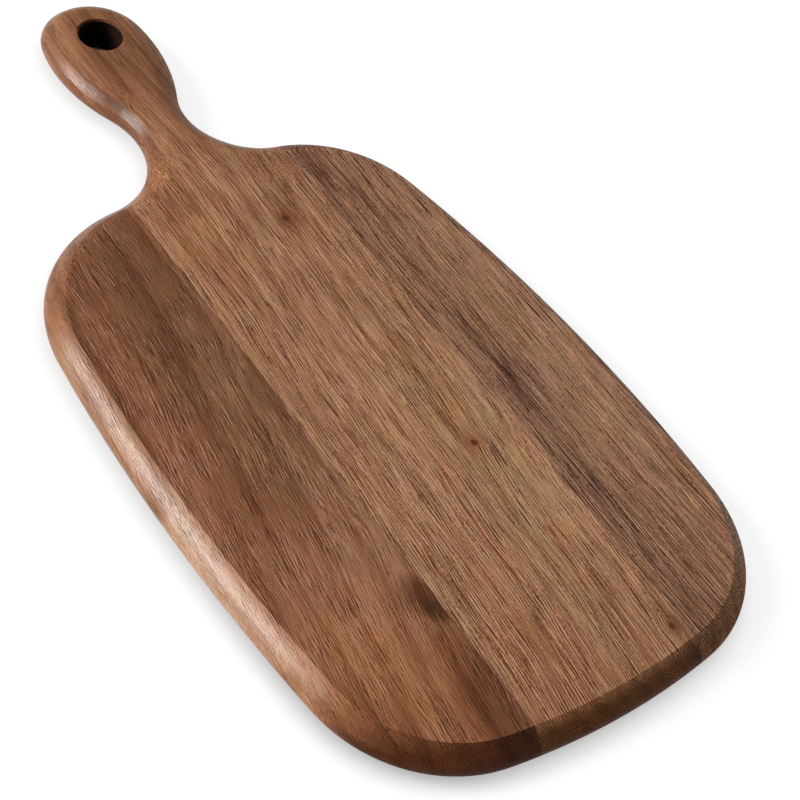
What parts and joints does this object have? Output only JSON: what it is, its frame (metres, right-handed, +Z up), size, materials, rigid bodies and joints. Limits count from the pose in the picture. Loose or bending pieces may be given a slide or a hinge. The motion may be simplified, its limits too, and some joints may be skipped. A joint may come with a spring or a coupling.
{
  "type": "paddle serving board",
  "caption": "Flat paddle-shaped wooden serving board with a bowed, bevelled outline, a waisted handle and a round hanging hole, for serving cheese, bread and cured meats.",
  "frame": {"origin": "centre of the bounding box, on the underside", "axes": "+X across the board, +Y along the board towards the handle, +Z up through the serving face"},
  "size_m": [0.205, 0.4, 0.016],
  "materials": {
    "left_walnut": "oiled satin, dark heartwood",
    "centre_walnut": "oiled satin, light open-grained heartwood",
    "right_walnut": "oiled satin, streaked heartwood",
    "glue": "dried wood glue"
  },
  "bodies": {
    "root": {"left_stave": "left_walnut", "centre_stave": "centre_walnut", "right_stave": "right_walnut", "left_glue_line": "glue", "right_glue_line": "glue"}
  },
  "joints": []
}
